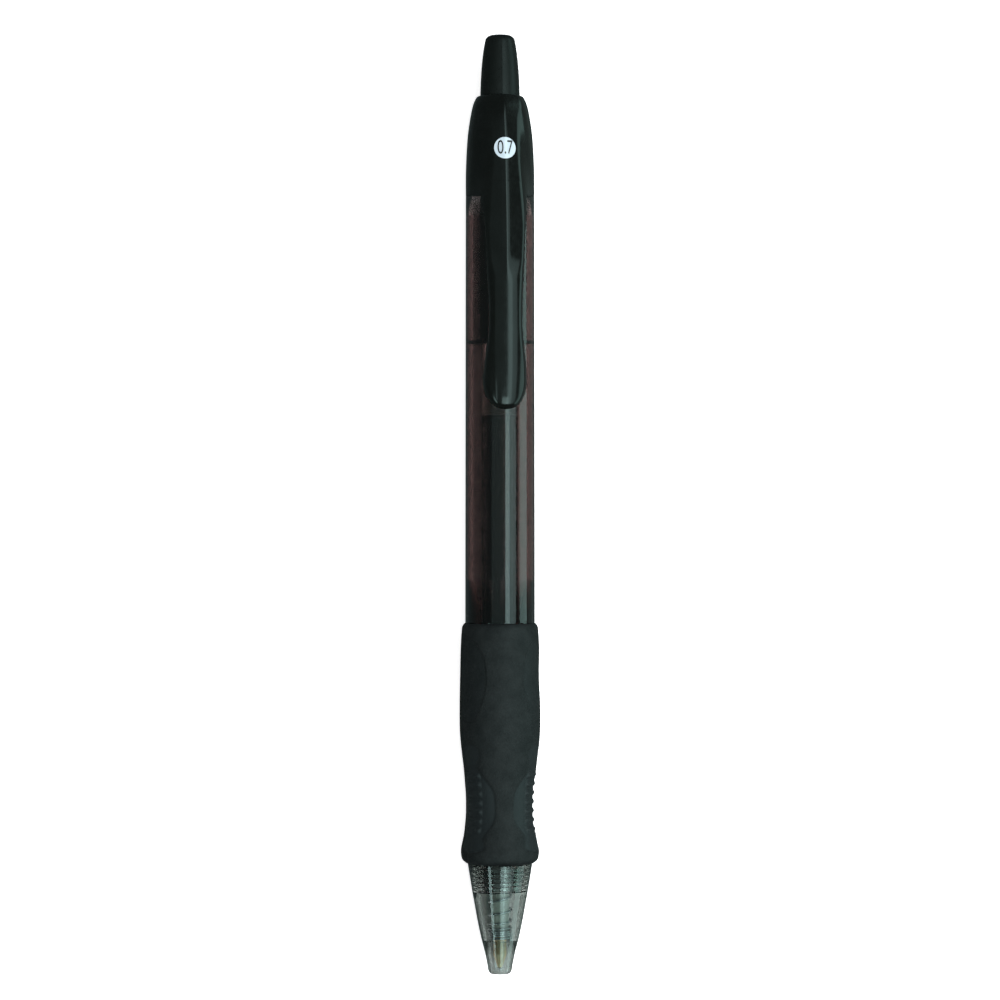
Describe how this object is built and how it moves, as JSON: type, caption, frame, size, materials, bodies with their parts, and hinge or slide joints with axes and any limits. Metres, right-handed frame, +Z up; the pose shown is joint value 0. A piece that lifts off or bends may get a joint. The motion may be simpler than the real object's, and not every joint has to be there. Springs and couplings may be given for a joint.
{
  "type": "retractable gel pen",
  "caption": "Click-action gel pen with clear smoke barrel, moulded rubber grip, screw-on clear nose, pocket clip, sprung refill and rotating-cam mechanism.",
  "frame": {"origin": "on the table under the middle of the pen: bottom centre of the bounding box", "axes": "+Y from the writing end to the push button along the pen, +Z up with the pocket clip on top, +X across"},
  "size_m": [0.0124, 0.143, 0.014],
  "materials": {
    "clear_smoke_plastic": "clear smoke tint, polished",
    "grip_rubber": "matt, fine grain",
    "clear_plastic": "clear, polished",
    "black_gloss_plastic": "polished",
    "black_mechanism_plastic": "moulded, low sheen",
    "white_mechanism_plastic": "natural, waxy",
    "refill_plastic": "translucent, waxy",
    "black_gel_ink": "wet",
    "clear_grease": "clear jelly",
    "tip_holder_plastic": "translucent white",
    "tip_brass": "turned",
    "ball_carbide": "polished",
    "spring_steel": "drawn wire"
  },
  "bodies": {
    "pen_body": {"barrel": "clear_smoke_plastic", "grip_sleeve": "grip_rubber", "clip_housing": "black_gloss_plastic", "cam_sleeve": "black_mechanism_plastic"},
    "clip": {"pocket_clip": "black_gloss_plastic"},
    "button": {"push_button": "black_gloss_plastic", "plunger": "black_mechanism_plastic"},
    "refill": {"refill_tube": "refill_plastic", "cam_rotor": "white_mechanism_plastic", "ink_column": "black_gel_ink", "grease_follower": "clear_grease", "tail_plug": "white_mechanism_plastic", "tip_holder": "tip_holder_plastic", "metal_tip": "tip_brass", "writing_ball": "ball_carbide"},
    "spring": {"return_spring": "spring_steel"},
    "nose": {"nose_cone": "clear_plastic"}
  },
  "joints": [
    {"name": "button_press", "type": "slide", "parent": "pen_body", "child": "button", "axis": [0, -1, 0], "range_m": [0, 0.0044], "stiffness_N_per_m": 400, "springref_m": -0.003},
    {"name": "refill_slide", "type": "slide", "parent": "pen_body", "child": "refill", "axis": [0, -1, 0], "range_m": [0, 0.0044], "deforming": ["return_spring"]},
    {"name": "clip_flex", "type": "hinge", "parent": "pen_body", "child": "clip", "pos_m": [0, 0.0468, 0.013], "axis": [-1, 0, 0], "range_deg": [0, 4], "stiffness_Nm_per_rad": 1.5},
    {"name": "nose_advance", "type": "slide", "parent": "pen_body", "child": "spring", "axis": [0, -1, 0], "range_m": [0, 0.0042]},
    {"name": "nose_turn", "type": "hinge", "parent": "spring", "child": "nose", "pos_m": [0, 0, 0.00617], "axis": [0, -1, 0], "range_deg": [0, 2160]}
  ],
  "couplings": [
    {"joint": "refill_slide", "follows": "button_press", "ratio": 1},
    {"joint": "nose_turn", "follows": "nose_advance", "rad_per_m": 8976}
  ]
}
